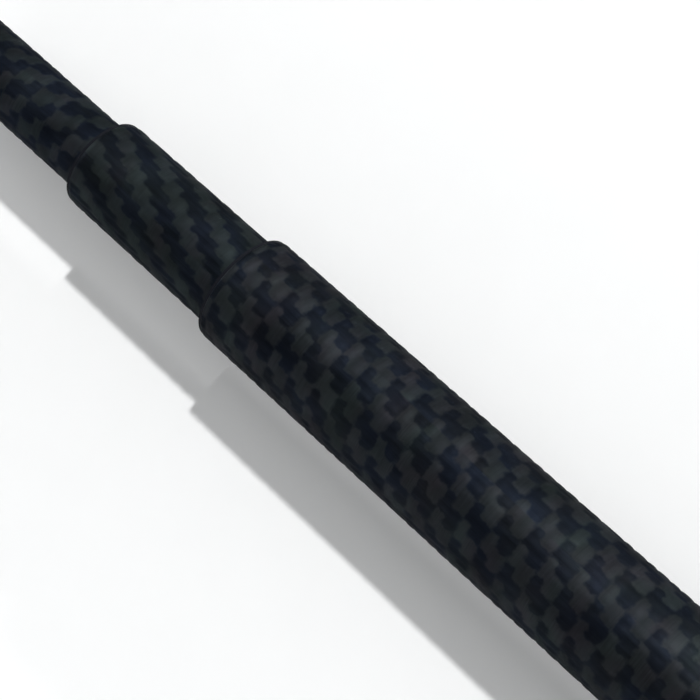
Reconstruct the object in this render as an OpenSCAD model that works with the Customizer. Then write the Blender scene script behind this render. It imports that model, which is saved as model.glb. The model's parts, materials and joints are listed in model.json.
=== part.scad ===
// Telescopic prism pole for surveying, standing upright on its steel point.
// Three carbon-fibre tubes slide in one another. A twist lock hangs under each inner tube:
// turning the tube draws a cone along a screw, and the cone spreads a split sleeve in the bore.
// The origin is the tip of the point, and +Z runs up the pole to the prism thread.

/* [Tubes] */
// Outside diameter of the outer tube
outer_od = 30; // [29:0.5:34]
// Wall of all three tubes
tube_wall = 1.8; // [1.6:0.1:2]
// Length of the outer tube
outer_len = 700; // [600:10:900]
// Bare length of the middle tube that shows when the pole is closed
middle_show = 52; // [40:1:80]
// Bare length of the upper tube that shows when the pole is closed
upper_show = 70; // [50:1:90]

/* [Mouth bushes] */
// Wall of the plastic liner in the outer tube's mouth
outer_bush_wall = 0.48; // [0.44:0.02:0.6]
// Wall of the plastic liner in the middle tube's mouth
middle_bush_wall = 0.78; // [0.6:0.02:0.8]
// Length of each liner inside its tube
bush_len = 30; // [20:1:36]
// Thickness of the lip that each liner turns over the tube's end
bush_lip = 0.8; // [0.6:0.1:1.2]
// Radial running gap between a liner and the tube that slides in it
slide_gap = 0.07; // [0.05:0.01:0.08]

/* [Point] */
// Length of the steel point below its shoe
point_len = 46; // [40:1:60]
// Length of the aluminium shoe that shows below the outer tube
shoe_len = 54; // [46:1:70]
// Length of the shoe's plug inside the tube
shoe_plug_len = 40; // [30:1:50]
// Width across the flats of the point's hexagon
point_hex_af = 17; // [15:1:18]

/* [Top fitting] */
// Diameter of the prism thread
prism_thread_d = 15.875; // [15.8:0.025:15.9]
// Length of the prism stud above its seat
stud_height = 20; // [18:1:26]
// Diameter of the seat that the prism rests on
seat_d = 28; // [26:1:32]

/* [Level] */
// Height of the level bracket's middle
level_z = 580; // [400:5:600]
// Distance from the pole's axis to the level's axis
level_reach = 36; // [36:1:42]
// Outside diameter of the level's cup
cup_d = 32; // [32:1:36]

/* [Hidden] */
$fn = 96;
e = 0.01;                                   // overshoot of a cutter past the face it opens
bond_gap = 0.05;                            // glue line or thread play, radial
tight_gap = 0.02;                           // glue line of a mouth liner, radial
end_step = 0.25;                            // lips and the shoe step in from the tube's outside
turned_bevel = 1;                           // bevel on the ends of turned pieces

// Colours
carbon = [0.10, 0.11, 0.12];
nylon = [0.05, 0.05, 0.06];
alloy = [0.62, 0.64, 0.66];
steel = [0.72, 0.72, 0.70];
brass = [0.80, 0.66, 0.34];
red_anodised = [0.62, 0.12, 0.10];

// Tube radii, each inner tube filling the liner outside it
outer_r = outer_od / 2;
outer_ir = outer_r - tube_wall;
middle_r = outer_ir - outer_bush_wall - slide_gap;
middle_ir = middle_r - tube_wall;
upper_r = middle_ir - middle_bush_wall - slide_gap;
upper_ir = upper_r - tube_wall;

// Heights along the pole, closed
shoe_z = point_len;
outer_z = shoe_z + shoe_len;
outer_top = outer_z + outer_len;
lock_plug_len = 30;                         // plug inside the inner tube
lock_drop = 60;                             // lock below the inner tube's end
lock_clear = 12;                            // room under a closed lock
middle_z = outer_z + shoe_plug_len + lock_clear + lock_drop;
middle_top = outer_top + bush_lip + middle_show;
upper_z = middle_z + lock_plug_len + lock_clear + lock_drop;
upper_top = middle_top + bush_lip + upper_show;

// Thread radii
point_thread_r = 6;
middle_stud_r = 4;
upper_stud_r = 3;
prism_r = prism_thread_d / 2;

// Plain tube between two heights
module tube(r_out, r_in, z0, z1) {
    translate([0, 0, z0]) difference() {
        cylinder(r = r_out, h = z1 - z0);
        translate([0, 0, -e]) cylinder(r = r_in, h = z1 - z0 + 2 * e);
    }
}

// Hexagonal prism by its width across the flats
module hexagon(af, h) { cylinder(r = af / 2 / cos(30), h = h, $fn = 6); }

// Disc with a bevel round both rims
module bevelled(r, h, bevel) {
    rotate_extrude() polygon([
        [0, 0], [r - bevel, 0], [r, bevel], [r, h - bevel], [r - bevel, h], [0, h]]);
}

// ---------------------------------------------------------------- outer section

bracket_h = 18;                             // height of the clamp band
bracket_seat_depth = 0.2;                   // ground seat that locates the clamp band on the tube
bracket_z = level_z - bracket_h / 2;

module outer_tube() {
    color(carbon) difference() {
        tube(outer_r, outer_ir, outer_z, outer_top);
        tube(outer_r + 1, outer_r - bracket_seat_depth, bracket_z, bracket_z + bracket_h);
    }
}

// Liner of a tube's mouth with a lip over the tube's end
module mouth_bush(tube_r, tube_ir, inner_r, top) {
    bore_r = inner_r + slide_gap;
    color(nylon) difference() {
        union() {
            translate([0, 0, top - bush_len]) cylinder(r = tube_ir - tight_gap, h = bush_len + e);
            translate([0, 0, top]) cylinder(r = tube_r - end_step, h = bush_lip);
        }
        translate([0, 0, top - bush_len - e]) cylinder(r = bore_r, h = bush_len + bush_lip + 2 * e);
    }
}

module outer_mouth_bush() { mouth_bush(outer_r, outer_ir, middle_r, outer_top); }

shoe_r = outer_r - end_step;
shoe_nose_r = 11;                           // bottom face of the shoe
shoe_nose_h = 8;                            // plain length below its taper
shoe_taper_h = 24;                          // height of its taper
shoe_bore_depth = 26;                       // threaded hole for the point
shoe_relief_r = 9;                          // hollow of the plug
shoe_web = 10;                              // metal between the hole and the hollow

module point_shoe() {
    color(alloy) difference() {
        rotate_extrude() polygon([
            [0, shoe_z], [shoe_nose_r - turned_bevel, shoe_z],
            [shoe_nose_r, shoe_z + turned_bevel], [shoe_nose_r, shoe_z + shoe_nose_h],
            [shoe_r, shoe_z + shoe_nose_h + shoe_taper_h],
            [shoe_r, outer_z], [outer_ir - bond_gap, outer_z],
            [outer_ir - bond_gap, outer_z + shoe_plug_len - turned_bevel],
            [outer_ir - turned_bevel, outer_z + shoe_plug_len], [0, outer_z + shoe_plug_len]]);
        translate([0, 0, shoe_z - e])
            cylinder(r = point_thread_r + bond_gap, h = shoe_bore_depth + e);
        translate([0, 0, shoe_z + shoe_bore_depth + shoe_web])
            cylinder(r = shoe_relief_r, h = shoe_len + shoe_plug_len);
    }
}

point_hex_h = 10;                           // hexagon for the wrench
point_neck_h = 4;                           // plain collar under the hexagon
point_collar_r = 7.5;
point_thread_len = 22;
point_groove_h = 2;                         // thread run-out against the shoe
point_groove_depth = 0.8;

module steel_point() {
    hex_z = point_len - point_hex_h;
    color(steel) {
        difference() {
            rotate_extrude() polygon([
                [0, 0], [0.5, 0.3], [0.9, 1.2], [point_collar_r - 0.8, hex_z - point_neck_h - 2],
                [point_collar_r, hex_z - point_neck_h], [point_collar_r, hex_z + e],
                [point_thread_r, hex_z + e],
                [point_thread_r, point_len + point_thread_len - turned_bevel],
                [point_thread_r - turned_bevel, point_len + point_thread_len],
                [0, point_len + point_thread_len]]);
            tube(point_thread_r + 1, point_thread_r - point_groove_depth, point_len + e,
                 point_len + point_groove_h);
        }
        translate([0, 0, hex_z]) difference() {
            hexagon(point_hex_af, point_hex_h);
            translate([0, 0, -e]) cylinder(r = point_thread_r - 1, h = point_hex_h + 2 * e);
        }
    }
}

// Level: a split clamp band on the tube carries a plate, and the cup stands on it on three
// adjusting screws with springs between.
band_t = 4;                                 // thickness of the clamp band
plate_t = 4;                                // thickness of the level's plate
plate_r = cup_d / 2 + 2;
web_h = 6;                                  // web under the plate
web_w = 8;
web_overlap = 2;                            // web past the level's axis
bridge_w = 2 * plate_r - 12;                // flat between the band and the plate
bridge_inset = 8;                           // its end short of the level's axis
web_clear = 1;                              // the web stays clear of the bare tube below the band
ear_len = 9;                                // ears past the band
ear_x = -outer_r - band_t - ear_len;        // outer end of the clamp's ears
ear_y = 7;                                  // half width across both ears
ear_round = 2.5;                            // radius of the ears' outer corners
split_w = 2;                                // gap between the ears
bracket_bevel = 0.8;
cup_bevel = 0.5;
clamp_screw_x = ear_x + 5;
m4_r = 2;
m3_r = 1.5;
hole_gap = 0.2;                             // radial room of a screw in a plain hole
pocket_gap = 0.35;                          // radial room of a screw head in its pocket
cup_room = 0.4;                             // room between the cup and the band
spring_h = 4;                               // gap that the springs fill
cup_z = bracket_z + plate_t + spring_h;
cup_h = 13;
cup_floor = 3;
vial_r = cup_d / 2 - 3;
vial_floor_z = cup_z + cup_floor;
vial_drop = 1.2;                            // top of the vial below the cup's rim
vial_h = cup_h - cup_floor - vial_drop;
vial_base_h = 1;
vial_wall = 1.8;
fluid_r = vial_r - vial_wall;
fluid_h = 6.4;
bubble_r = 3.5;
bubble_h = 1.6;
bubble_gap = 0.05;
adjust_r = 9.5;                             // circle of the adjusting screws
adjust_head_r = 2.75;
adjust_head_h = 2.4;
adjust_socket_af = 2.5;
adjust_socket_depth = 1.4;
adjust_end = 0.2;                           // thread's end below the cup's floor inside
spring_r = 2.7;                             // outside of a spring
spring_wire = 0.8;

module at_level(z) { translate([level_reach, 0, z]) children(); }
module adjust_places() {
    for (a = [60, 180, 300]) rotate([0, 0, a]) translate([adjust_r, 0, 0]) children();
}

// Ears at the band's split, which the clamp screw draws together
module clamp_ears() {
    for (z = [ear_round, bracket_h - ear_round])
        translate([ear_x + ear_round, ear_y, bracket_z + z]) rotate([90, 0, 0])
            cylinder(r = ear_round, h = 2 * ear_y);
    translate([ear_x, -ear_y, bracket_z + ear_round])
        cube([-ear_x - outer_r, 2 * ear_y, bracket_h - 2 * ear_round]);
    translate([ear_x + ear_round, -ear_y, bracket_z])
        cube([-ear_x - ear_round - outer_r, 2 * ear_y, bracket_h]);
}

module level_bracket() {
    color(nylon) difference() {
        union() {
            translate([0, 0, bracket_z]) bevelled(outer_r + band_t, bracket_h, bracket_bevel);
            clamp_ears();
            at_level(bracket_z) bevelled(plate_r, plate_t, bracket_bevel);
            // web that carries the plate under the band
            translate([outer_r, -web_w / 2, bracket_z - web_h])
                cube([level_reach - outer_r + web_overlap, web_w, web_h + e]);
            translate([outer_r, -bridge_w / 2, bracket_z])
                cube([level_reach - outer_r - bridge_inset, bridge_w, plate_t]);
        }
        translate([0, 0, bracket_z - web_h - e])
            cylinder(r = outer_r - bracket_seat_depth + bond_gap, h = bracket_h + web_h + 2 * e);
        translate([0, 0, bracket_z - web_h - e]) cylinder(r = outer_r + web_clear, h = web_h + e);
        translate([ear_x - e, -split_w / 2, bracket_z - e])
            cube([-ear_x, split_w, bracket_h + 2 * e]);
        translate([clamp_screw_x, ear_y + e, level_z]) rotate([90, 0, 0])
            cylinder(r = m4_r + hole_gap, h = 2 * ear_y + 2 * e);
        at_level(bracket_z - e) adjust_places() cylinder(r = m3_r + hole_gap, h = plate_t + 2 * e);
        // pockets that let the screw heads reach the plate past the web
        at_level(bracket_z - web_h - e) adjust_places()
            cylinder(r = adjust_head_r + pocket_gap, h = web_h + e);
        at_level(bracket_z + plate_t) cylinder(r = cup_d / 2 + cup_room, h = bracket_h);
    }
}

clamp_head_r = 3.5;
clamp_head_h = 4;
clamp_socket_af = 3;
clamp_socket_depth = 2.2;
clamp_nut_af = 7;
clamp_nut_h = 3.2;
clamp_tail = 1;                             // thread showing past the nut

module bracket_clamp_screw() {
    color(steel) translate([clamp_screw_x, 0, level_z]) rotate([-90, 0, 0]) difference() {
        union() {
            translate([0, 0, ear_y]) cylinder(r = clamp_head_r, h = clamp_head_h);
            translate([0, 0, -ear_y - clamp_nut_h - clamp_tail])
                cylinder(r = m4_r, h = 2 * ear_y + clamp_nut_h + clamp_tail + e);
        }
        translate([0, 0, ear_y + clamp_head_h - clamp_socket_depth])
            hexagon(clamp_socket_af, clamp_socket_depth + e);
    }
}

module bracket_clamp_nut() {
    color(steel) translate([clamp_screw_x, -ear_y, level_z]) rotate([90, 0, 0]) difference() {
        hexagon(clamp_nut_af, clamp_nut_h);
        translate([0, 0, -e]) cylinder(r = m4_r + bond_gap, h = clamp_nut_h + 2 * e);
    }
}

module level_cup() {
    color(red_anodised) at_level(cup_z) difference() {
        bevelled(cup_d / 2, cup_h, cup_bevel);
        translate([0, 0, cup_floor]) cylinder(r = vial_r + bond_gap, h = cup_h);
        translate([0, 0, -e]) adjust_places() cylinder(r = m3_r + bond_gap, h = cup_floor + 2 * e);
    }
}

module vial_base() { color("white") at_level(vial_floor_z) cylinder(r = vial_r, h = vial_base_h); }

module level_vial() {
    color([0.85, 0.9, 0.9, 0.4]) at_level(vial_floor_z + vial_base_h) difference() {
        cylinder(r = vial_r, h = vial_h - vial_base_h);
        translate([0, 0, -e]) cylinder(r = fluid_r + bond_gap, h = fluid_h + bond_gap + e);
    }
}

module level_fluid() {
    color([0.75, 0.9, 0.2, 0.6]) at_level(vial_floor_z + vial_base_h) difference() {
        cylinder(r = fluid_r, h = fluid_h);
        translate([0, 0, fluid_h - bubble_h - bubble_gap])
            cylinder(r = bubble_r + bubble_gap, h = bubble_h + 1);
    }
}

module level_bubble() {
    color([0.95, 0.98, 0.9, 0.5])
        at_level(vial_floor_z + vial_base_h + fluid_h - bubble_h) cylinder(r = bubble_r, h = bubble_h);
}

ring_h = 2;                                 // flange of the retaining ring above the cup
ring_skirt = 1;                             // how far it screws into the cup
ring_flare = 0.9;                           // bevel round its window
module vial_retaining_ring() {
    color(alloy) at_level(cup_z + cup_h) difference() {
        union() {
            bevelled(cup_d / 2, ring_h, cup_bevel);
            translate([0, 0, -ring_skirt]) cylinder(r = vial_r, h = ring_skirt + e);
        }
        translate([0, 0, -ring_skirt - e]) cylinder(r = fluid_r, h = ring_h + ring_skirt + 2 * e);
        translate([0, 0, ring_h - ring_flare])
            cylinder(r1 = fluid_r, r2 = fluid_r + ring_flare + e, h = ring_flare + e);
    }
}

module level_adjusting_screws() {
    color(steel) at_level(bracket_z) adjust_places() difference() {
        union() {
            translate([0, 0, -adjust_head_h]) cylinder(r = adjust_head_r, h = adjust_head_h);
            translate([0, 0, -e]) cylinder(
                r = m3_r, h = plate_t + spring_h + cup_floor - adjust_end + e);
        }
        translate([0, 0, -adjust_head_h - e]) hexagon(adjust_socket_af, adjust_socket_depth);
    }
}

module adjusting_springs() {
    color(steel) at_level(0) adjust_places()
        tube(spring_r, spring_r - spring_wire, bracket_z + plate_t,
             bracket_z + plate_t + spring_h);
}

// ---------------------------------------------------------------- twist lock of an inner tube

// Heights below the inner tube's end
ring_top = -4;                              // underside of the plug's flange
ring_low = -12;                             // underside of the glide ring
nose_low = -19.8;                           // thrust face of the plug
sleeve_top = -20;                           // top of the split sleeve
sleeve_low = -50;                           // bottom of the split sleeve
sleeve_floor = 4;                           // solid crown of the sleeve
taper_top = sleeve_top - sleeve_floor;
cone_top = -29;
cone_low = -49;
stop_top = -51.5;                           // the cone backs off as far as this nut
stop_h = 5.5;
wedge_gap = 0.12;                           // gap left at the wedged faces
sleeve_gap = 0.06;                          // gap left at the gripped bore
ring_gap = 0.08;                            // running gap of the glide ring
flange_step = 0.15;                         // plug's flange steps in from the tube's outside
crown_gap = 0.4;                            // room of the screw in the sleeve's crown
slot_end = 3;                               // sleeve's slots stop short of its crown
key_inset = 0.9;                            // cone's keys stay clear of the bore
key_w = 1.2;                                // cone's keys
key_h = 8;
slot_w = 1.6;                               // sleeve's slots that take them
screw_low = -59.5;                          // ends of the lock's screw
screw_high = 14.5;
screw_bevel = 0.8;
stud_hole = 15;                             // depth of the screw's hole in the plug
nose_wall = 2.5;                            // plug's nose round the screw
middle_stop_af = 13;                        // widths across the flats of the two nuts
upper_stop_af = 10;

// Radii of the sleeve's inside taper
sleeve_low_wall = 1.8;
sleeve_top_wall = 4.3;
function taper_low_r(bore_r) = bore_r - sleeve_low_wall;
function taper_top_r(bore_r) = bore_r - sleeve_top_wall;
function taper_r(bore_r, z) = taper_low_r(bore_r)
    + (taper_top_r(bore_r) - taper_low_r(bore_r)) * (z - sleeve_low) / (taper_top - sleeve_low);
neck_depth = 1.6;                           // groove of the glide ring
function neck_r(tube_r) = tube_r - neck_depth;

module lock_plug(z, tube_r, tube_ir, stud_r) {
    color(nylon) translate([0, 0, z]) difference() {
        rotate_extrude() polygon([
            [0, nose_low], [stud_r + nose_wall, nose_low], [stud_r + nose_wall, ring_low - 2],
            [neck_r(tube_r), ring_low - 1.8], [neck_r(tube_r) + 0.4, ring_low - 0.6],
            [neck_r(tube_r), ring_low - 0.2], [neck_r(tube_r), ring_top],
            [tube_r - flange_step, ring_top], [tube_r - flange_step, 0], [tube_ir - bond_gap, 0],
            [tube_ir - bond_gap, lock_plug_len - turned_bevel],
            [tube_ir - turned_bevel, lock_plug_len],
            [0, lock_plug_len]]);
        translate([0, 0, nose_low - e]) cylinder(r = stud_r + bond_gap, h = stud_hole - nose_low);
    }
}

module glide_ring(z, tube_r, bore_r) {
    color([0.86, 0.86, 0.82])
        tube(bore_r - ring_gap, neck_r(tube_r) + bond_gap, z + ring_low, z + ring_top - 0.1);
}

module lock_stud(z, stud_r) {
    color(steel) translate([0, 0, z]) rotate_extrude() polygon([
        [0, screw_low], [stud_r - screw_bevel, screw_low], [stud_r, screw_low + screw_bevel],
        [stud_r, screw_high], [0, screw_high]]);
}

module lock_stop(z, stud_r, af) {
    color(steel) translate([0, 0, z + stop_top - stop_h]) difference() {
        hexagon(af, stop_h);
        translate([0, 0, -e]) cylinder(r = stud_r + bond_gap, h = stop_h + 2 * e);
    }
}

module lock_expander(z, bore_r, stud_r) {
    color([0.16, 0.16, 0.17]) translate([0, 0, z]) difference() {
        translate([0, 0, sleeve_low])
            cylinder(r = bore_r - sleeve_gap, h = sleeve_top - sleeve_low);
        translate([0, 0, sleeve_low - e])
            cylinder(r1 = taper_low_r(bore_r), r2 = taper_top_r(bore_r), h = taper_top - sleeve_low + e);
        translate([0, 0, taper_top - e]) cylinder(r = stud_r + crown_gap, h = sleeve_floor + 2 * e);
        for (a = [0, 90]) rotate([0, 0, a])
            translate([-bore_r, -slot_w / 2, sleeve_low - e])
                cube([2 * bore_r, slot_w, taper_top - slot_end - sleeve_low]);
    }
}

module lock_cone(z, bore_r, stud_r) {
    color(brass) translate([0, 0, z]) difference() {
        union() {
            translate([0, 0, cone_low]) cylinder(
                r1 = taper_r(bore_r, cone_low) - wedge_gap,
                r2 = taper_r(bore_r, cone_top) - wedge_gap, h = cone_top - cone_low);
            // two keys in the sleeve's slots stop the cone turning with the screw
            translate([-bore_r + key_inset, -key_w / 2, cone_low])
                cube([2 * (bore_r - key_inset), key_w, key_h]);
        }
        translate([0, 0, cone_low - e]) cylinder(r = stud_r + bond_gap, h = cone_top - cone_low + 2 * e);
    }
}

// ---------------------------------------------------------------- middle section

module middle_tube() { color(carbon) tube(middle_r, middle_ir, middle_z, middle_top); }
module middle_mouth_bush() { mouth_bush(middle_r, middle_ir, upper_r, middle_top); }
module middle_lock_plug() { lock_plug(middle_z, middle_r, middle_ir, middle_stud_r); }
module middle_glide_ring() { glide_ring(middle_z, middle_r, outer_ir); }
module middle_lock_stud() { lock_stud(middle_z, middle_stud_r); }
module middle_lock_stop() { lock_stop(middle_z, middle_stud_r, middle_stop_af); }
module middle_lock_expander() { lock_expander(middle_z, outer_ir, middle_stud_r); }
module middle_lock_cone() { lock_cone(middle_z, outer_ir, middle_stud_r); }

// ---------------------------------------------------------------- upper section

module upper_tube() { color(carbon) tube(upper_r, upper_ir, upper_z, upper_top); }
module upper_lock_plug() { lock_plug(upper_z, upper_r, upper_ir, upper_stud_r); }
module upper_glide_ring() { glide_ring(upper_z, upper_r, middle_ir); }
module upper_lock_stud() { lock_stud(upper_z, upper_stud_r); }
module upper_lock_stop() { lock_stop(upper_z, upper_stud_r, upper_stop_af); }
module upper_lock_expander() { lock_expander(upper_z, middle_ir, upper_stud_r); }
module upper_lock_cone() { lock_cone(upper_z, middle_ir, upper_stud_r); }

// ---------------------------------------------------------------- top fitting

ferrule_neck_h = 4;                         // shoulder flush with the tube
ferrule_body_h = 12;                        // gripped part of the ferrule
ferrule_seat_h = 6;                         // flange that the prism rests on
ferrule_body_r = prism_r + 4;
ferrule_plug_len = 30;
seat_z = upper_top + ferrule_neck_h + ferrule_body_h + ferrule_seat_h;
stud_root = 18;                             // stud's length below the seat
stud_low = seat_z - stud_root;
stud_end_gap = 0.5;                         // room under the stud
stud_bevel = 1.4;                           // lead-in of the prism thread
relief_h = 2;                               // undercut where the thread meets the seat
relief_depth = 1;
grub_socket_af = 2;
grub_socket_depth = 2;
grub_gap = 0.1;                             // screw's tip short of the stud
grub_sink = 0.3;                            // its end below the ferrule's outside
grub_z = upper_top + ferrule_neck_h + ferrule_body_h / 2;

module top_ferrule() {
    body_z = upper_top + ferrule_neck_h;
    flange_z = body_z + ferrule_body_h;
    color(alloy) difference() {
        rotate_extrude() polygon([
            [0, upper_top - ferrule_plug_len],
            [upper_ir - turned_bevel, upper_top - ferrule_plug_len],
            [upper_ir - bond_gap, upper_top - ferrule_plug_len + turned_bevel],
            [upper_ir - bond_gap, upper_top], [upper_r, upper_top], [upper_r, body_z - 2],
            [ferrule_body_r, body_z], [ferrule_body_r, flange_z],
            [seat_d / 2 - turned_bevel, flange_z], [seat_d / 2, flange_z + turned_bevel],
            [seat_d / 2, seat_z - turned_bevel], [seat_d / 2 - turned_bevel, seat_z],
            [0, seat_z]]);
        translate([0, 0, stud_low - stud_end_gap])
            cylinder(r = prism_r + bond_gap, h = stud_root + stud_end_gap + e);
        translate([0, 0, grub_z]) rotate([-90, 0, 0])
            cylinder(r = m4_r + bond_gap, h = ferrule_body_r + e);
    }
}

module prism_stud() {
    top = seat_z + stud_height;
    color(steel) rotate_extrude() polygon([
        [0, stud_low], [prism_r - turned_bevel, stud_low], [prism_r, stud_low + turned_bevel],
        [prism_r, seat_z - relief_h], [prism_r - relief_depth, seat_z - relief_h + 0.5],
        [prism_r - relief_depth, seat_z + 0.5], [prism_r, seat_z + 1],
        [prism_r, top - stud_bevel], [prism_r - stud_bevel, top], [0, top]]);
}

module stud_grub_screw() {
    color(steel) translate([0, 0, grub_z]) rotate([-90, 0, 0]) difference() {
        translate([0, 0, prism_r + grub_gap])
            cylinder(r = m4_r, h = ferrule_body_r - prism_r - grub_gap - grub_sink);
        translate([0, 0, ferrule_body_r - grub_socket_depth])
            hexagon(grub_socket_af, grub_socket_depth);
    }
}

// ---------------------------------------------------------------- assembly

outer_tube();
outer_mouth_bush();
point_shoe();
steel_point();
level_bracket();
bracket_clamp_screw();
bracket_clamp_nut();
level_cup();
vial_base();
level_vial();
level_fluid();
level_bubble();
vial_retaining_ring();
level_adjusting_screws();
adjusting_springs();
middle_tube();
middle_mouth_bush();
middle_lock_plug();
middle_glide_ring();
middle_lock_stud();
middle_lock_stop();
middle_lock_expander();
middle_lock_cone();
upper_tube();
upper_lock_plug();
upper_glide_ring();
upper_lock_stud();
upper_lock_stop();
upper_lock_expander();
upper_lock_cone();
top_ferrule();
prism_stud();
stud_grub_screw();
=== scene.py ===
"""Telescopic carbon-fibre prism pole: woven tubes, turned metal, spirit level and studio set."""
import json
import math

import bpy
import numpy as np
from mathutils import Matrix, Vector


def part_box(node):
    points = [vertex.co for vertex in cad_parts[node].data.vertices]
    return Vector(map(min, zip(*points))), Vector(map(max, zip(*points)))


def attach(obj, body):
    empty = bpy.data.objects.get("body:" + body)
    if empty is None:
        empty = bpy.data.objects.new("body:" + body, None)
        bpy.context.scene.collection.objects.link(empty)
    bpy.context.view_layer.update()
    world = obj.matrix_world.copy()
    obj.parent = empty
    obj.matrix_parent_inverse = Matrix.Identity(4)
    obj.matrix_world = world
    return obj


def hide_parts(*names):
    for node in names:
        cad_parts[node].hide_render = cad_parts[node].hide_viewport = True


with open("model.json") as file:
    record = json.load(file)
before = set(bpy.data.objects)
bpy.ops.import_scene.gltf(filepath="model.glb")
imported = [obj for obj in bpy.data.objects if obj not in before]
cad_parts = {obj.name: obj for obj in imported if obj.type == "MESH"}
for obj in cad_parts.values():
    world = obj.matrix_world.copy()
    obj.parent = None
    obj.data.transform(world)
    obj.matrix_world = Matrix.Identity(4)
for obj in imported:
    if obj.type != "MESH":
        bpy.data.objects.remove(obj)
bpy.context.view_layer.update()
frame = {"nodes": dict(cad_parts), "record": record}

MM = 0.001
TAU = 2 * math.pi
scene = bpy.context.scene
scene.view_settings.view_transform = "Standard"


# ------------------------------------------------------------------ camera

CAMERA_PLACE = (0.0, -0.41661, 0.59718)
CAMERA_PAN = math.radians(0.839)
CAMERA_TILT = math.radians(22.454)
CAMERA_ROLL = math.radians(-48.389)
CAMERA_LENS = 97.71
CAMERA_SENSOR = 36.0
CAMERA_CLIP = (0.02, 50)


def make_camera():
    forward = Vector((math.sin(CAMERA_PAN) * math.cos(CAMERA_TILT),
                      math.cos(CAMERA_PAN) * math.cos(CAMERA_TILT), math.sin(CAMERA_TILT)))
    level_right = forward.cross(Vector((0, 0, 1))).normalized()
    level_up = level_right.cross(forward)
    right = math.cos(CAMERA_ROLL) * level_right + math.sin(CAMERA_ROLL) * level_up
    up = right.cross(forward)
    data = bpy.data.cameras.new("camera")
    data.lens, data.sensor_width = CAMERA_LENS, CAMERA_SENSOR
    data.clip_start, data.clip_end = CAMERA_CLIP
    cam = bpy.data.objects.new("camera", data)
    cam.matrix_world = Matrix.Translation(CAMERA_PLACE) @ Matrix(
        (right, up, -forward)).transposed().to_4x4()
    scene.collection.objects.link(cam)
    scene.camera = cam


make_camera()


# ------------------------------------------------------------------ mesh helpers

CRISP_ANGLE = math.radians(35)  # edges of turned pieces stay crisp from here up


def add_mesh(name, verts, faces, caps=(), smooth=True):
    """Object from vertex rows, quads and any number of larger caps."""
    verts = np.asarray(verts, np.float32).reshape(-1, 3)
    faces = np.asarray(faces, np.int32)
    sizes = np.array([4] * len(faces) + [len(cap) for cap in caps], np.int32)
    me = bpy.data.meshes.new(name)
    me.vertices.add(len(verts))
    me.vertices.foreach_set("co", verts.ravel())
    me.loops.add(int(sizes.sum()))
    me.loops.foreach_set("vertex_index", np.concatenate(
        [faces.ravel()] + [np.asarray(cap, np.int32) for cap in caps]))
    me.polygons.add(len(sizes))
    me.polygons.foreach_set("loop_start", np.concatenate([[0], np.cumsum(sizes)[:-1]]))
    me.update(calc_edges=True)
    me.validate()
    me.polygons.foreach_set("use_smooth", np.full(len(sizes), smooth))
    ob = bpy.data.objects.new(name, me)
    scene.collection.objects.link(ob)
    return ob


def wrap_faces(rows, cols, close_rows=False):
    """Quads of a grid whose columns close on themselves, facing outwards when rows run down."""
    last = rows if close_rows else rows - 1
    r, c = np.meshgrid(np.arange(last), np.arange(cols), indexing="ij")
    r2, c2 = (r + 1) % rows, (c + 1) % cols
    return np.stack([r * cols + c, r2 * cols + c, r2 * cols + c2, r * cols + c2], -1).reshape(-1, 4)


def around(radius, angle, z):
    """Points at an angle from the front of the pole, positive towards +X."""
    return np.stack(np.broadcast_arrays(radius * np.sin(angle), -radius * np.cos(angle), z), -1)


def turned(name, grid, close_rows=False):
    """Object from rings of points that run down, with flat ends unless the rings close."""
    rows, cols = grid.shape[:2]
    caps = []
    if not close_rows:
        caps = [np.arange(cols), np.arange(rows * cols - 1, (rows - 1) * cols - 1, -1)]
    ob = add_mesh(name, grid, wrap_faces(rows, cols, close_rows), caps)
    ob.data.set_sharp_from_angle(angle=CRISP_ANGLE)
    return ob


def finish_piece(ob, body, material):
    ob.data.materials.append(material)
    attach(ob, body)


# ------------------------------------------------------------------ material helpers

EVEN = (1, 1, 1)             # noise that is not stretched
NOISE_MIDDLE = (0.3, 0.7)    # where nearly all of a noise node's values lie
COARSE_SHARE = 0.15          # scale of a finish's broad patches, as a share of its grain's


def new_material(name):
    mat = bpy.data.materials.new(name)
    mat.use_nodes = True
    nodes = mat.node_tree.nodes
    return mat, nodes, mat.node_tree.links, nodes["Principled BSDF"]


def math_node(nodes, links, operation, a, b=None, c=None, clamp=False):
    node = nodes.new("ShaderNodeMath")
    node.operation, node.use_clamp = operation, clamp
    for socket, value in zip(node.inputs, (a, b, c)):
        if value is None:
            continue
        if isinstance(value, (int, float)):
            socket.default_value = value
        else:
            links.new(value, socket)
    return node.outputs[0]


def mix_colour(nodes, links, factor, a, b):
    node = nodes.new("ShaderNodeMix")
    node.data_type = "RGBA"
    for socket, value in ((node.inputs[0], factor), (node.inputs[6], a), (node.inputs[7], b)):
        if isinstance(value, tuple):
            socket.default_value = (*value, 1.0)
        else:
            links.new(value, socket)
    return node.outputs[2]


def object_noise(nodes, links, stretch, scale, detail=3.0, source=None):
    """Noise stretched along each axis of source, by default the piece's own metres."""
    if source is None:
        source = nodes.new("ShaderNodeTexCoord").outputs["Object"]
    mapping = nodes.new("ShaderNodeMapping")
    mapping.inputs["Scale"].default_value = stretch
    links.new(source, mapping.inputs["Vector"])
    noise = nodes.new("ShaderNodeTexNoise")
    noise.inputs["Scale"].default_value = scale
    noise.inputs["Detail"].default_value = detail
    links.new(mapping.outputs[0], noise.inputs["Vector"])
    return noise.outputs["Fac"]


def spread(nodes, links, value, low, high):
    """Maps the middle of a noise node's range to low..high."""
    node = nodes.new("ShaderNodeMapRange")
    node.inputs["From Min"].default_value, node.inputs["From Max"].default_value = NOISE_MIDDLE
    node.inputs["To Min"].default_value, node.inputs["To Max"].default_value = low, high
    links.new(value, node.inputs["Value"])
    return node.outputs[0]


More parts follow.
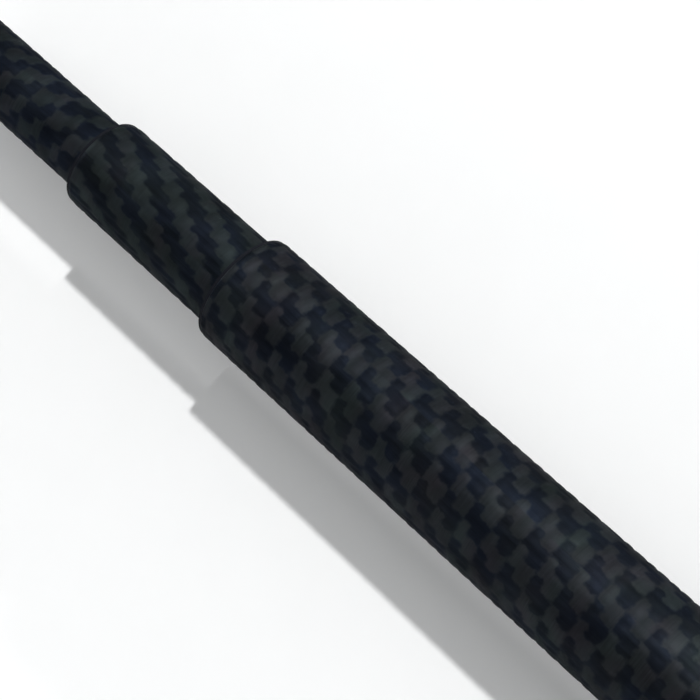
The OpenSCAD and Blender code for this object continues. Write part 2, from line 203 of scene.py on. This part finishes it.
def bump(nodes, links, shader, height, distance, strength=1.0):
    node = nodes.new("ShaderNodeBump")
    node.inputs["Distance"].default_value = distance
    node.inputs["Strength"].default_value = strength
    links.new(height, node.inputs["Height"])
    links.new(node.outputs[0], shader.inputs["Normal"])


def surface(name, colour, dark, roughness, metallic=0.0, stretch=EVEN, scale=400.0,
            grain=0.02 * MM, specular=0.5):
    """A finish whose colour and roughness wander between two values along a stretched grain."""
    mat, nodes, links, shader = new_material(name)
    coarse = object_noise(nodes, links, EVEN, scale * COARSE_SHARE)
    fine = object_noise(nodes, links, stretch, scale, 5.0)
    blend = math_node(nodes, links, "ADD", math_node(nodes, links, "MULTIPLY", coarse, 0.5),
                      math_node(nodes, links, "MULTIPLY", fine, 0.5))
    links.new(mix_colour(nodes, links, spread(nodes, links, blend, 0.0, 1.0), dark, colour),
              shader.inputs["Base Color"])
    links.new(spread(nodes, links, blend, roughness[0], roughness[1]), shader.inputs["Roughness"])
    shader.inputs["Metallic"].default_value = metallic
    shader.inputs["Specular IOR Level"].default_value = specular
    bump(nodes, links, shader, fine, grain)
    return mat


# Both kinds of tow are the same fibre: the lighter hoop colour and the darker colour along the tube
# are painted sheen and painted shade for how each fibre direction reflects light.
HOOP_COLOUR_WITH_PAINTED_SHEEN = (0.0200, 0.0218, 0.0234)
AXIAL_COLOUR_WITH_PAINTED_SHADE = (0.0096, 0.0110, 0.0130)
NAVY = (0.78, 0.95, 1.32)          # tints, which multiply both colours
GREEN_GREY = (0.94, 1.13, 1.06)
PURPLE_GREY = (1.16, 1.04, 1.14)
NAVY_SPAN = 1.0                    # rise of navy's share from its weakest areas to its strongest
PURPLE_SPAN = 1.2                  # and of purple-grey's
HOOP_NAVY_LOSS = 0.75              # share of the navy that hoop tows go without
EDGE_AT = 0.5                      # where an edge falls, from 0 outside a hoop tow to 1 inside it
RAGGED = 0.22                      # wander of that edge each way
EDGE_GAIN = 2.4                    # crispness of that edge

# Noise over the unrolled tube, in patches per millimetre round it and along it.
RAGGED_SCALE = 0.6
ROUND_FIBRES = (0.12, 5.0, 1)
LONG_FIBRES = (5.0, 0.12, 1)
BLOTCHES = (0.09, 0.07, 1)
NAVY_AREAS = (0.11, 0.06, 1)
PURPLE_AREAS = (0.05, 0.08, 1)
PURPLE_SCALE = 1.3                 # on top of the areas' own scale

FIBRE_GAIN = (0.75, 1.25)          # darkest and lightest fibre
BLOTCH_GAIN = (0.75, 1.3)          # darkest and lightest blotch
TOW_ROUGHNESS = (0.56, 0.6)        # of tows along the tube, then of hoop tows
FIBRE_ROUGHNESS = (0.9, 1.1)       # smoothest and roughest fibre
FIBRE_RELIEF = 0.03 * MM
FIBRE_BUMP = 0.6
LAMINATE_METALLIC = 0.8
LAMINATE_IOR = 1.2
LAMINATE_SHEEN = (0.45, 0.45, 0.45, 1)


def carbon_material(name, warmth, blueness):
    """Laminate: hoop tows get a lighter base colour than the tows along the tube, a painted sheen
    for the light their fibres catch, and fibres run along each.
    warmth and blueness are the shares of purple-grey and navy where their areas are weakest."""
    mat, nodes, links, shader = new_material(name)
    lies_round = nodes.new("ShaderNodeAttribute")
    lies_round.attribute_name = "hoop"
    tone = nodes.new("ShaderNodeAttribute")
    tone.attribute_name = "tone"
    flat = nodes.new("ShaderNodeUVMap")
    flat.uv_map = "weave"
    unrolled = flat.outputs[0]
    ragged = object_noise(nodes, links, EVEN, RAGGED_SCALE, 1.0, unrolled)
    edge = math_node(nodes, links, "ADD", lies_round.outputs["Fac"],
                     spread(nodes, links, ragged, -RAGGED, RAGGED))
    hoop = math_node(nodes, links, "MULTIPLY_ADD", edge, EDGE_GAIN, 0.5 - EDGE_AT * EDGE_GAIN,
                     clamp=True)
    along_hoop = object_noise(nodes, links, ROUND_FIBRES, 1.0, 4.0, unrolled)
    along_tube = object_noise(nodes, links, LONG_FIBRES, 1.0, 4.0, unrolled)
    blotch = object_noise(nodes, links, BLOTCHES, 1.0, 3.0, unrolled)
    navy_area = object_noise(nodes, links, NAVY_AREAS, 1.0, 2.0, unrolled)
    purple_area = object_noise(nodes, links, PURPLE_AREAS, PURPLE_SCALE, 2.0, unrolled)
    pick = nodes.new("ShaderNodeMix")
    links.new(hoop, pick.inputs[0])
    links.new(along_tube, pick.inputs[2])
    links.new(along_hoop, pick.inputs[3])
    fibre = pick.outputs[0]
    # painted sheen: hoop tows take the lighter colour and tows along the tube the darker one
    tow_colour_with_painted_sheen = mix_colour(nodes, links, hoop, AXIAL_COLOUR_WITH_PAINTED_SHADE, HOOP_COLOUR_WITH_PAINTED_SHEEN)
    navy = math_node(nodes, links, "MULTIPLY",
                     spread(nodes, links, navy_area, blueness, blueness + NAVY_SPAN),
                     math_node(nodes, links, "MULTIPLY_ADD", hoop, -HOOP_NAVY_LOSS, 1.0),
                     clamp=True)
    purple = spread(nodes, links, purple_area, warmth, warmth + PURPLE_SPAN)
    tint = mix_colour(nodes, links, purple, GREEN_GREY, PURPLE_GREY)
    tint = mix_colour(nodes, links, navy, tint, NAVY)
    gain = math_node(nodes, links, "MULTIPLY", spread(nodes, links, fibre, *FIBRE_GAIN),
                     spread(nodes, links, blotch, *BLOTCH_GAIN))
    gain = math_node(nodes, links, "MULTIPLY", gain, tone.outputs["Fac"])
    tinted = nodes.new("ShaderNodeVectorMath")
    tinted.operation = "MULTIPLY"
    links.new(tow_colour_with_painted_sheen, tinted.inputs[0])
    links.new(tint, tinted.inputs[1])
    scaled = nodes.new("ShaderNodeVectorMath")
    scaled.operation = "SCALE"
    links.new(tinted.outputs[0], scaled.inputs[0])
    links.new(gain, scaled.inputs["Scale"])
    links.new(scaled.outputs[0], shader.inputs["Base Color"])
    rough = nodes.new("ShaderNodeMix")
    links.new(hoop, rough.inputs[0])
    rough.inputs[2].default_value, rough.inputs[3].default_value = TOW_ROUGHNESS
    links.new(math_node(nodes, links, "MULTIPLY", rough.outputs[0],
                        spread(nodes, links, fibre, *FIBRE_ROUGHNESS)),
              shader.inputs["Roughness"])
    shader.inputs["Metallic"].default_value = LAMINATE_METALLIC
    shader.inputs["IOR"].default_value = LAMINATE_IOR
    shader.inputs["Specular Tint"].default_value = LAMINATE_SHEEN
    bump(nodes, links, shader, fibre, FIBRE_RELIEF, FIBRE_BUMP)
    return mat


def clear_material(name, colour, other, roughness, ior):
    """Glass, liquid or gas with a faint streak of a second tint."""
    mat, nodes, links, shader = new_material(name)
    streak = object_noise(nodes, links, (1, 1, 3), 300, 2.0)
    links.new(mix_colour(nodes, links, streak, colour, other), shader.inputs["Base Color"])
    shader.inputs["Roughness"].default_value = roughness
    shader.inputs["IOR"].default_value = ior
    shader.inputs["Transmission Weight"].default_value = 1.0
    return mat


# ------------------------------------------------------------------ woven tubes

REPEAT = 4                     # tows in one repeat of the twill
FLOAT = 2                      # tows that a hoop tow crosses on the outside
PER_TOW = 4                    # grid steps across one tow
RELIEF = 0.2 * MM
CROWN_POWER = 2.6              # flatness of a tow across its width
FLOAT_POWER = 5                # flatness of a tow along its float, before it dives
AXIAL_CROWN = 0.8              # crown of the tows along the tube, where the hoop tows' is 1
TUBE_WALL = 1.8 * MM
MOUTH_SLIVER = 0.5 * MM        # a hoop tow narrower than this is left out at the mouth
FOOT_SLIVER = 1 * MM           # and at the lower end
BORE_STEP = math.radians(2)    # turn of the bore's columns from one ring to the next
TILE_TONE = (0.85, 1.15)       # darkest and lightest tile
BORE_TONE = 0.6


def tow_pattern(columns, tows, steps, first):
    """True where the hoop tow of a column lies over the tow that runs along the tube, and each
    cell's place in the repeat. first is the place of the mouth's column in steps."""
    moves = [steps[(first + k) % len(steps)] for k in range(columns - 1)]
    shift = np.concatenate([[0], np.cumsum(moves)])
    index = (np.arange(tows)[None, :] - shift[:, None]) % REPEAT
    return index < FLOAT, index


def ridge(share, power):
    """Height across a tow, from 0 at its sides to 1 in the middle, flatter for a higher power."""
    return 1 - np.abs(2 * share - 1) ** power


def tow_heights(over, index):
    """Height of every grid vertex, from 0 where tows dive to 1 on their crowns."""
    columns, tows = over.shape
    step = np.arange(PER_TOW + 1) / PER_TOW
    crown = ridge(step, CROWN_POWER)
    height = np.zeros((columns * PER_TOW + 1, tows * PER_TOW))
    for j in range(columns):
        for i in range(tows):
            if over[j, i]:
                along = ridge((index[j, i] + step) / FLOAT, FLOAT_POWER)
                patch = crown[:, None] * along[None, :]
            else:
                first = j
                while first > 0 and not over[first - 1, i]:
                    first -= 1
                last = j
                while last + 1 < columns and not over[last + 1, i]:
                    last += 1
                along = ridge((j - first + step) / (last - first + 1), FLOAT_POWER)
                patch = along[:, None] * crown[None, :] * AXIAL_CROWN
            rows = slice(j * PER_TOW, j * PER_TOW + PER_TOW + 1)
            cols = (i * PER_TOW + np.arange(PER_TOW + 1)) % (tows * PER_TOW)
            height[rows, cols] = np.maximum(height[rows, cols], patch)
    return height


def corner_values(cells):
    """Mean of the cells round each grid vertex."""
    cells = cells.astype(float)
    beside = (cells + np.roll(cells, 1, 1)) / 2
    return (np.concatenate([beside[:1], beside]) + np.concatenate([beside, beside[-1:]])) / 2


def unroll(me, arc, z_rows, count):
    """Flat coordinates in millimetres, round the tube and along it, with no seam inside a face."""
    column = np.arange(count)
    uv = np.empty((len(z_rows) - 1, count, 4, 2), np.float32)
    uv[:, :, 0, 0] = uv[:, :, 1, 0] = (column * arc)[None, :]
    uv[:, :, 2, 0] = uv[:, :, 3, 0] = ((column + 1) * arc)[None, :]
    uv[:, :, 0, 1] = uv[:, :, 3, 1] = z_rows[:-1, None]
    uv[:, :, 1, 1] = uv[:, :, 2, 1] = z_rows[1:, None]
    me.uv_layers.new(name="weave").data.foreach_set("uv", uv.ravel())


def woven_tube(node, body, tows, pitches, steps, turn, start, lean, seed, material):
    """A tube with its weave in relief. pitches are the hoop tows' widths from the mouth down,
    the first of them cut at start from its edge, and steps are the floats' shifts from each hoop
    tow to the next, in tows. turn is the angle of the first tow along the tube, and lean is the
    drift of these tows, in tows per millimetre."""
    low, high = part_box(node)
    radius, z_top, z_low = high[0], high[2], low[2]
    length = z_top - z_low
    ends = np.cumsum(np.tile(pitches, int(length / min(pitches)))) - start
    first = int(np.argmax(ends > MOUTH_SLIVER))
    kept = ends[(ends > MOUTH_SLIVER) & (ends < length - FOOT_SLIVER)]
    edges = np.concatenate([[0.0], kept, [length]])
    over, index = tow_pattern(len(edges) - 1, tows, steps, first)
    height = tow_heights(over, index)
    share = np.arange(PER_TOW) / PER_TOW
    steps_down = edges[:-1, None] + share * np.diff(edges)[:, None]
    depth = np.concatenate([steps_down.ravel(), edges[-1:]])
    count = tows * PER_TOW
    angle = turn + TAU * np.arange(count) / count
    twist = lean / MM * TAU / tows
    outer = around(radius - RELIEF + RELIEF * height, angle[None, :] - twist * depth[:, None],
                   (z_top - depth)[:, None])
    back = np.linspace(length, 0, 2 + int(abs(twist) * length / BORE_STEP))
    inner = around(radius - TUBE_WALL, angle[None, :] - twist * back[:, None],
                   (z_top - back)[:, None])
    rows = len(depth) + len(back)
    ob = add_mesh(node + "_weave", np.concatenate([outer, inner]).reshape(-1, 3),
                  wrap_faces(rows, count, close_rows=True))
    me = ob.data
    tile_tone = np.random.default_rng(seed).uniform(*TILE_TONE, over.shape)
    second = np.where(over & (index == 1))  # second cell of each float, which has the first's tone
    tile_tone[second] = tile_tone[second[0], (second[1] - 1) % tows]
    for name, tiles, hidden in (("hoop", over, 0.0), ("tone", tile_tone, BORE_TONE)):
        values = np.full((rows, count), hidden, np.float32)
        values[:len(depth)] = corner_values(np.repeat(np.repeat(tiles, PER_TOW, 0), PER_TOW, 1))
        me.attributes.new(name, "FLOAT", "POINT").data.foreach_set("value", values.ravel())
    unroll(me, radius * TAU / count / MM,
           np.concatenate([z_top - depth, z_top - back, [z_top]]) / MM, count)
    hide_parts(node)
    finish_piece(ob, body, material)


woven_tube("outer_tube", "outer_section", tows=36, pitches=(2.81 * MM, 3.98 * MM), steps=(-1, 2),
           turn=0.567, start=5.14 * MM, lean=0.0153, seed=11,
           material=carbon_material("outer_weave_finish", warmth=-0.1, blueness=0.1))
woven_tube("middle_tube", "middle_section", tows=36, pitches=(4.54 * MM,), steps=(-1,),
           turn=-0.079, start=0.21 * MM, lean=0.0158, seed=12,
           material=carbon_material("middle_weave_finish", warmth=-0.5, blueness=0.15))
woven_tube("upper_tube", "upper_section", tows=24, pitches=(4.80 * MM, 3.24 * MM), steps=(1, -2),
           turn=0.134, start=1.62 * MM, lean=-0.028, seed=13,
           material=carbon_material("upper_weave_finish", warmth=-0.4, blueness=0.5))


# ------------------------------------------------------------------ carried-over nodes

TURNED = (0.3, 0.3, 14)      # fine rings round a turned piece

FINISHES = {
    "black_nylon": surface("black_nylon_finish", (0.014, 0.015, 0.017), (0.008, 0.008, 0.009),
                           (0.55, 0.7), scale=1800, grain=0.05 * MM, specular=0.1),
    "natural_acetal": surface("acetal_finish", (0.82, 0.81, 0.76), (0.74, 0.72, 0.66),
                              (0.35, 0.5), stretch=(1, 1, 12), scale=500),
    "grey_nylon": surface("grey_nylon_finish", (0.13, 0.13, 0.14), (0.09, 0.09, 0.1),
                          (0.42, 0.6), scale=1500, grain=0.04 * MM),
    "bare_aluminium": surface("aluminium_finish", (0.74, 0.75, 0.77), (0.55, 0.56, 0.58),
                              (0.26, 0.42), metallic=1.0, stretch=TURNED, scale=700,
                              grain=0.01 * MM),
    "red_anodised": surface("red_anodised_finish", (0.5, 0.035, 0.03), (0.36, 0.02, 0.02),
                            (0.28, 0.42), metallic=0.85, stretch=TURNED, scale=700,
                            grain=0.01 * MM),
    "hardened_steel": surface("hardened_steel_finish", (0.55, 0.54, 0.52), (0.3, 0.29, 0.28),
                              (0.22, 0.45), metallic=1.0, stretch=(0.4, 0.4, 10), scale=500,
                              grain=0.02 * MM),
    "stainless_steel": surface("stainless_finish", (0.66, 0.65, 0.63), (0.5, 0.49, 0.47),
                               (0.2, 0.34), metallic=1.0, stretch=(0.3, 0.3, 12), scale=900,
                               grain=0.008 * MM),
    "black_steel": surface("black_oxide_finish", (0.05, 0.05, 0.053), (0.02, 0.02, 0.022),
                           (0.3, 0.5), metallic=0.7, scale=1400, grain=0.01 * MM),
    "turned_brass": surface("brass_finish", (0.78, 0.58, 0.27), (0.6, 0.42, 0.18),
                            (0.2, 0.36), metallic=1.0, stretch=TURNED, scale=800,
                            grain=0.01 * MM),
    "vial_backing": surface("vial_backing_finish", (0.86, 0.87, 0.85), (0.8, 0.81, 0.79),
                            (0.3, 0.4), scale=300),
    "mouth_lip": surface("mouth_lip_finish", (0.009, 0.010, 0.014), (0.006, 0.007, 0.010),
                         (0.6, 0.75), scale=1800, grain=0.05 * MM, specular=0.05),
}

slot_of = {part["node"]: part["material_slot"] for part in frame["record"]["subparts"]}
for node, ob in frame["nodes"].items():
    finish = FINISHES.get("mouth_lip" if node.endswith("mouth_bush") else slot_of[node])
    if finish:
        ob.data.materials.clear()
        ob.data.materials.append(finish)


# ------------------------------------------------------------------ threads and knurls

AROUND = 72                  # points round a turned piece
THREAD_ROWS = 10             # rings of points in one pitch of a thread
FLANK_RISE = 1.35            # a thread's flanks rise this many depths in half a pitch,
FLANK_START = -0.12          # from here, and are cut flat at the root, 0, and the crest, 1
KNURL_POINTS = 8             # points round one diamond
KNURL_ROW = 0.16 * MM        # height between rings of points
KNURL_SLOPE = 1.5            # steepness of a diamond, where 1 leaves its top sharp
KNURL_FADE = 0.3 * MM        # height over which a band's ends die away
KNURL_BACK = 0.3 * MM        # depth of a band under its diamonds
FERRULE_WALL = 4 * MM        # ferrule round the stud, where the knurl lies


def threaded_rod(node, body, slot, pitch, depth, plain, chamfer):
    """A rod with a right-hand thread. plain lists the heights between which it has none,
    with the radius there."""
    low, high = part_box(node)
    radius, z_top, z_low = high[0], high[2], low[2]
    z = np.arange(z_top, z_low, -pitch / THREAD_ROWS)
    z = np.append(z, z_low)[:, None]
    angle = TAU * np.arange(AROUND)[None, :] / AROUND
    crest = np.abs(2 * ((z / pitch - angle / TAU) % 1) - 1)
    r = radius - depth * (1 - np.clip(FLANK_RISE * crest + FLANK_START, 0, 1))
    for start, end, plain_radius in plain:
        r = np.where((z > start) & (z < end), plain_radius, r)
    r = np.minimum(r, radius - chamfer + (z_top - z))
    r = np.minimum(r, radius - chamfer + (z - z_low))
    ob = turned(node + "_threaded", around(r, angle, z))
    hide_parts(node)
    finish_piece(ob, body, FINISHES[slot])


seat_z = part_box("top_ferrule")[1][2]
stud_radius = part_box("prism_stud")[1][0]
threaded_rod("prism_stud", "upper_section", "stainless_steel", pitch=25.4 / 11 * MM,
             depth=1.0 * MM, chamfer=1.2 * MM,
             plain=[(seat_z - 2 * MM, seat_z + 0.8 * MM, stud_radius - 1 * MM)])
for section in ("middle", "upper"):
    threaded_rod(section + "_lock_stud", section + "_section", "stainless_steel", pitch=3 * MM,
                 depth=0.5 * MM, chamfer=0.6 * MM, plain=[])


def knurled_band(name, body, z_low, z_top, core, height, count):
    """A ring of small raised diamonds."""
    around_steps, up_steps = KNURL_POINTS * count, int((z_top - z_low) / KNURL_ROW)
    angle = TAU * np.arange(around_steps)[None, :] / around_steps
    z = np.linspace(z_top, z_low, up_steps)[:, None]
    lead = TAU * core / count
    turns = count * angle / TAU
    peaks = np.minimum(1 - np.abs(2 * ((turns + z / lead) % 1) - 1),
                       1 - np.abs(2 * ((turns - z / lead) % 1) - 1))
    ends = np.clip(np.minimum(z_top - z, z - z_low) / KNURL_FADE, 0, 1)
    rings = around(core + height * np.clip(KNURL_SLOPE * peaks, 0, 1) * ends, angle, z)
    back = around(core - KNURL_BACK, angle, np.array([[z_low], [z_top]]))
    ob = turned(name, np.concatenate([rings, back]), close_rows=True)
    finish_piece(ob, body, FINISHES["bare_aluminium"])


grub_z = sum(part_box("stud_grub_screw")[k][2] for k in (0, 1)) / 2
ferrule_radius = stud_radius + FERRULE_WALL
for name, low, high in (("ferrule_knurl_lower", -5.6, -2.5), ("ferrule_knurl_upper", 2.5, 5.4)):
    knurled_band(name, "upper_section", grub_z + low * MM, grub_z + high * MM,
                 core=ferrule_radius + 0.02 * MM, height=0.3 * MM, count=60)


# ------------------------------------------------------------------ level

COIL_STEPS = 28              # points along one turn of wire
COIL_SIDES = 10              # points round the wire
COIL_CLOSED = 0.75           # turns that lie flat at each end
SCREW_CIRCLE = 9.5 * MM      # radius on which the adjusting screws and their springs stand
SCREW_PLACES = (60, 180, 300)
DOME_SHOULDER = 0.35         # millimetres from the bubble's flat top down to its widest ring
CLEAR_ROUGHNESS = 0.02


def coil(centre, z_low, z_top, radius, wire, turns):
    """Points and faces of one coil spring with its end turns closed flat."""
    steps, sides = int(COIL_STEPS * turns), COIL_SIDES
    share = np.arange(steps + 1) / steps
    angle = TAU * turns * share
    rise = np.clip((share * turns - COIL_CLOSED) / (turns - 2 * COIL_CLOSED), 0, 1)
    z = z_low + wire + (z_top - z_low - 2 * wire) * rise
    out = np.stack([np.sin(angle), -np.cos(angle), 0 * angle], -1)
    path = np.asarray(centre) + radius * out + np.stack([0 * z, 0 * z, z], -1)
    turn = -TAU * np.arange(sides) / sides
    rings = (path[:, None] + wire * np.cos(turn)[None, :, None] * out[:, None]
             + wire * np.sin(turn)[None, :, None] * np.array([0, 0, 1.0]))
    caps = [np.arange(sides), np.arange((steps + 1) * sides - 1, steps * sides - 1, -1)]
    return rings.reshape(-1, 3), wrap_faces(steps + 1, sides), caps


spring_low, spring_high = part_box("adjusting_springs")
cup_low, cup_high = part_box("level_cup")
cup_centre = (cup_low + cup_high) / 2
verts, faces, caps = [], [], []
for place in SCREW_PLACES:
    spot = (cup_centre[0] + SCREW_CIRCLE * math.cos(math.radians(place)),
            cup_centre[1] + SCREW_CIRCLE * math.sin(math.radians(place)), 0)
    points, quads, ends = coil(spot, spring_low[2], spring_high[2], radius=2.3 * MM,
                               wire=0.35 * MM, turns=4.5)
    offset = sum(len(v) for v in verts)
    verts.append(points)
    faces.append(quads + offset)
    caps += [end + offset for end in ends]
springs = add_mesh("adjusting_springs_coiled", np.concatenate(verts), np.concatenate(faces), caps)
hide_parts("adjusting_springs")
finish_piece(springs, "outer_section", FINISHES["stainless_steel"])


def turned_profile(name, profile, centre, close_rows=False):
    """A turned piece on the level's axis from (radius, height) pairs in millimetres."""
    profile = np.array(profile)
    angle = TAU * np.arange(AROUND)[None, :] / AROUND
    grid = around(profile[:, :1] * MM, angle, profile[:, 1:] * MM)
    return turned(name, grid + np.asarray(centre), close_rows)


bubble_low, bubble_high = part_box("level_bubble")
bubble_r = (bubble_high[0] - bubble_low[0]) / 2 / MM
bubble_h = (bubble_high[2] - bubble_low[2]) / MM
dome = [(0.2, 0.0), (bubble_r * 0.72, -0.02), (bubble_r * 0.88, -0.08)]
dome += [(bubble_r * math.cos(a), -DOME_SHOULDER - (bubble_h - DOME_SHOULDER) * math.sin(a))
         for a in np.linspace(0, 1.5, 14)]
bubble = turned_profile("level_bubble_gas", dome, (cup_centre[0], cup_centre[1], bubble_high[2]))
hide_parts("level_bubble")
finish_piece(bubble, "outer_section", clear_material(
    "bubble_finish", (0.97, 1.0, 0.92), (0.93, 0.98, 0.86), CLEAR_ROUGHNESS, 1.02))

vial_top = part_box("level_vial")[1][2]
centring = turned_profile("level_centring_ring",
                          [(4.0, 0.06), (4.35, 0.06), (4.4, 0.04), (4.4, 0.0), (3.95, 0.0),
                           (3.95, 0.04)][::-1],
                          (cup_centre[0], cup_centre[1], vial_top), close_rows=True)
finish_piece(centring, "outer_section", FINISHES["black_nylon"])

for node, name, colour, streak, ior in (
        ("level_vial", "vial_glass_finish", (0.95, 0.985, 0.97), (0.9, 0.96, 0.94), 1.48),
        ("level_fluid", "vial_spirit_finish", (0.74, 0.88, 0.12), (0.66, 0.82, 0.08), 1.36)):
    frame["nodes"][node].data.materials.clear()
    frame["nodes"][node].data.materials.append(
        clear_material(name, colour, streak, CLEAR_ROUGHNESS, ior))
for clear in (frame["nodes"]["level_vial"], frame["nodes"]["level_fluid"], bubble):
    clear.visible_shadow = False


# ------------------------------------------------------------------ studio

FLOOR_REACH = 4                # in metres, as the two below
WALL_REACH = 2
WALL_TOP = 3
WALL_BEHIND = 22 * MM
SUN_AWAY = 3                   # where a sun's marker stands, which doesn't change its light
KEY_AZIMUTH = math.radians(33.5)
SIDE_AZIMUTH = math.radians(71)
KEY_ELEVATION = math.radians(0.8)


def studio_surface(name, one_sided):
    """Matt near-white, and clear from behind when one-sided."""
    mat, nodes, links, shader = new_material(name)
    fine = object_noise(nodes, links, EVEN, 60, 4.0)
    links.new(mix_colour(nodes, links, fine, (0.9, 0.905, 0.905), (0.92, 0.925, 0.925)),
              shader.inputs["Base Color"])
    shader.inputs["Roughness"].default_value = 0.9
    shader.inputs["Specular IOR Level"].default_value = 0.1
    if one_sided:
        side = nodes.new("ShaderNodeNewGeometry")
        clear = nodes.new("ShaderNodeBsdfTransparent")
        mix = nodes.new("ShaderNodeMixShader")
        links.new(side.outputs["Backfacing"], mix.inputs[0])
        links.new(shader.outputs[0], mix.inputs[1])
        links.new(clear.outputs[0], mix.inputs[2])
        links.new(mix.outputs[0], nodes["Material Output"].inputs["Surface"])
    return mat


def studio_sheet(name, corners, material):
    ob = add_mesh(name, corners, [(0, 1, 2, 3)], smooth=False)
    ob.data.materials.append(material)


studio_sheet("studio_floor", [(-FLOOR_REACH, -FLOOR_REACH, 0), (FLOOR_REACH, -FLOOR_REACH, 0),
                              (FLOOR_REACH, FLOOR_REACH, 0), (-FLOOR_REACH, FLOOR_REACH, 0)],
             studio_surface("studio_floor_finish", one_sided=False))
studio_sheet("studio_wall", [(-WALL_REACH, WALL_BEHIND, 0), (WALL_REACH, WALL_BEHIND, 0),
                             (WALL_REACH, WALL_BEHIND, WALL_TOP),
                             (-WALL_REACH, WALL_BEHIND, WALL_TOP)],
             studio_surface("studio_wall_finish", one_sided=True))


def sun(name, azimuth, elevation, strength, softness):
    """Light from an angle off the pole's front, positive towards +X."""
    data = bpy.data.lights.new(name, "SUN")
    data.energy, data.angle = strength, math.radians(softness)
    ob = bpy.data.objects.new(name, data)
    travel = Vector((-math.sin(azimuth) * math.cos(elevation),
                     math.cos(azimuth) * math.cos(elevation), -math.sin(elevation)))
    ob.rotation_mode = "QUATERNION"
    ob.rotation_quaternion = travel.to_track_quat("-Z", "Y")
    ob.location = -travel * SUN_AWAY
    scene.collection.objects.link(ob)


sun("key_light", KEY_AZIMUTH, KEY_ELEVATION, strength=2.12, softness=2.5)
sun("side_light", SIDE_AZIMUTH, KEY_ELEVATION, strength=0.6, softness=2.5)
sun("fill_light", math.radians(-75), math.radians(8), strength=0.45, softness=40.0)
sun("top_light", math.radians(10), math.radians(75), strength=1.1, softness=20.0)


WORLD_COLOUR = (0.98, 0.99, 1.0, 1)
WORLD_LIGHT = 0.2            # soft light from all round
WORLD_SEEN = 0.8             # brightness of the backdrop where the sky itself shows


def make_world():
    world = bpy.data.worlds.new("studio_world")
    scene.world = world
    world.use_nodes = True
    nodes, links = world.node_tree.nodes, world.node_tree.links
    background = nodes["Background"]
    background.inputs["Color"].default_value = WORLD_COLOUR
    seen = nodes.new("ShaderNodeLightPath").outputs["Is Camera Ray"]
    links.new(math_node(nodes, links, "MULTIPLY_ADD", seen, WORLD_SEEN - WORLD_LIGHT, WORLD_LIGHT),
              background.inputs["Strength"])


make_world()
